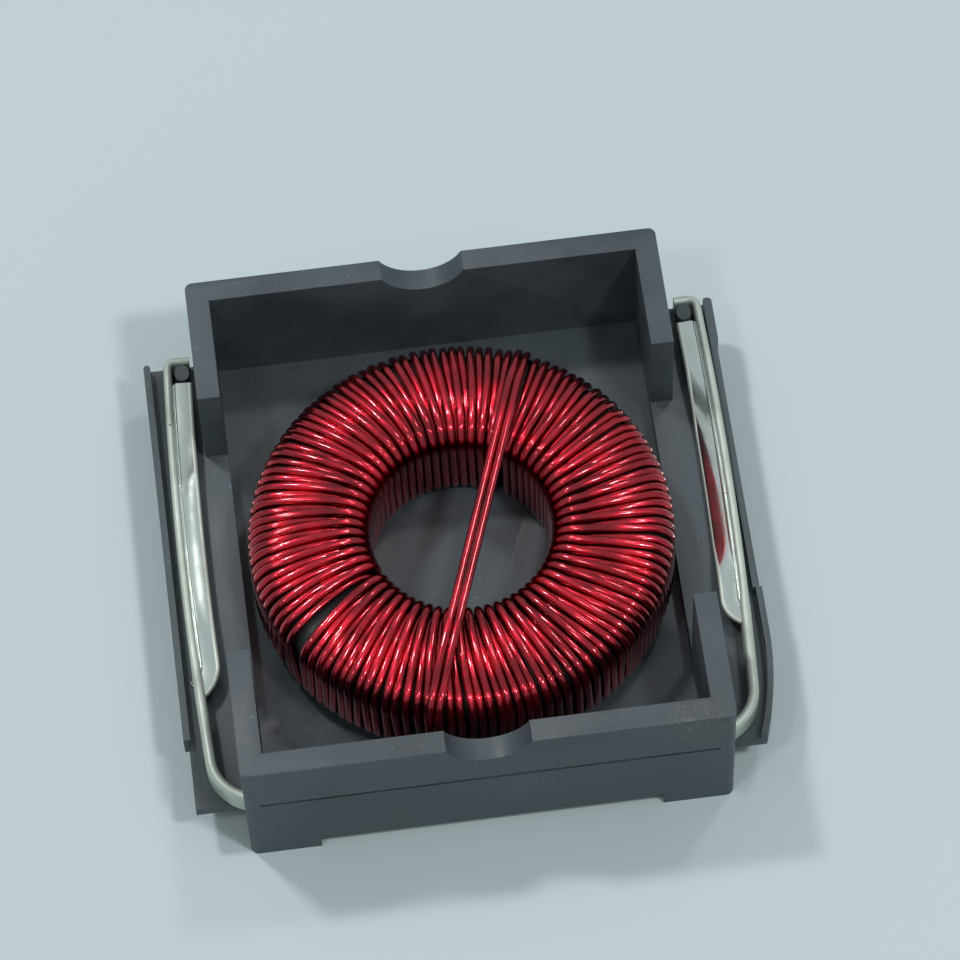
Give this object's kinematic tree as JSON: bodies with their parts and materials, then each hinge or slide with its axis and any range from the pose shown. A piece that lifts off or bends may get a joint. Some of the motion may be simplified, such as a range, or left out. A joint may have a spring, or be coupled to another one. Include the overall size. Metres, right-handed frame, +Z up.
{
  "type": "toroidal inductor",
  "caption": "Ring core wound with a pair of red enamelled wires, in an open black plastic tray with corner feet and a bright spring clip along each side.",
  "frame": {"origin": "middle of the footprint, level with the underside of the feet", "axes": "+Z up out of the open tray, +X towards the right-hand clip, +Y towards the back wall"},
  "size_m": [0.0387, 0.0366, 0.0115],
  "materials": {
    "black_plastic": "moulded, fine scratches",
    "core_coating": "epoxy coated",
    "red_enamel": "clear red enamel over copper",
    "plated_strip": "bright tin plate"
  },
  "bodies": {
    "root": {"tray": "black_plastic", "core": "core_coating", "wire_a": "red_enamel", "wire_b": "red_enamel", "clip_left": "plated_strip", "clip_right": "plated_strip"}
  },
  "joints": []
}
